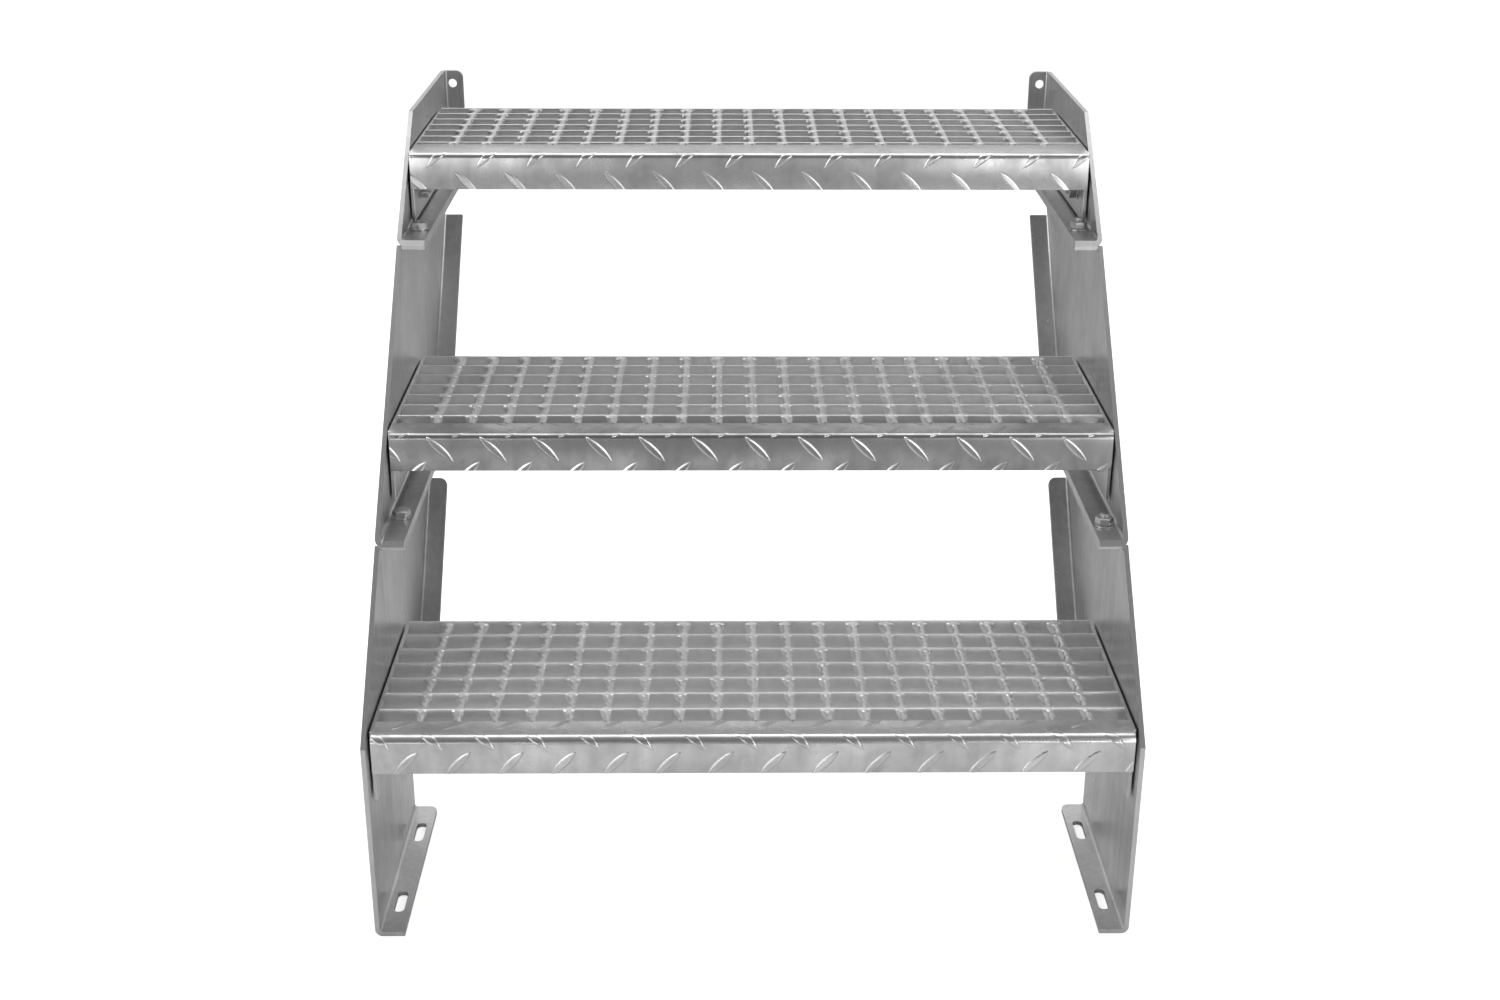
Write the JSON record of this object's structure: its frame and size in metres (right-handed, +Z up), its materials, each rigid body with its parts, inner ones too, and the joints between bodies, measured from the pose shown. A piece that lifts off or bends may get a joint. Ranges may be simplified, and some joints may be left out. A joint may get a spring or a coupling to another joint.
{
  "type": "steel staircase",
  "caption": "Straight open-riser outdoor stair of galvanised steel: folded side panels stacked as modules, grating treads with chequered nosings, bolted to floor and wall.",
  "frame": {"origin": "on the underside of the left floor flange, midway between its two slots, at floor level", "axes": "+X across the stair towards its right-hand side, +Y up the flight towards the wall, +Z up"},
  "size_m": [0.807, 0.82, 0.758],
  "materials": {
    "panel_zinc": "hot-dip galvanised, semi-gloss",
    "grating_zinc": "hot-dip galvanised, satin",
    "nosing_zinc": "hot-dip galvanised, semi-gloss",
    "bolt_zinc": "zinc plated"
  },
  "bodies": {
    "root": {"lower_tread_grating": "grating_zinc", "lower_tread_nosing": "nosing_zinc", "lower_side_panel_left": "panel_zinc", "lower_tread_end_plate_left": "panel_zinc", "lower_tread_bolt_front_left": "bolt_zinc", "lower_tread_bolt_back_left": "bolt_zinc", "lower_side_panel_right": "panel_zinc", "lower_tread_end_plate_right": "panel_zinc", "lower_tread_bolt_front_right": "bolt_zinc", "lower_tread_bolt_back_right": "bolt_zinc", "middle_tread_grating": "grating_zinc", "middle_tread_nosing": "nosing_zinc", "middle_side_panel_left": "panel_zinc", "middle_tread_end_plate_left": "panel_zinc", "middle_tread_bolt_front_left": "bolt_zinc", "middle_tread_bolt_back_left": "bolt_zinc", "middle_joint_bolt_left": "bolt_zinc", "middle_side_panel_right": "panel_zinc", "middle_tread_end_plate_right": "panel_zinc", "middle_tread_bolt_front_right": "bolt_zinc", "middle_tread_bolt_back_right": "bolt_zinc", "middle_joint_bolt_right": "bolt_zinc", "top_tread_grating": "grating_zinc", "top_tread_nosing": "nosing_zinc", "top_side_panel_left": "panel_zinc", "top_tread_end_plate_left": "panel_zinc", "top_tread_bolt_front_left": "bolt_zinc", "top_tread_bolt_back_left": "bolt_zinc", "top_joint_bolt_left": "bolt_zinc", "top_side_panel_right": "panel_zinc", "top_tread_end_plate_right": "panel_zinc", "top_tread_bolt_front_right": "bolt_zinc", "top_tread_bolt_back_right": "bolt_zinc", "top_joint_bolt_right": "bolt_zinc"}
  },
  "joints": []
}
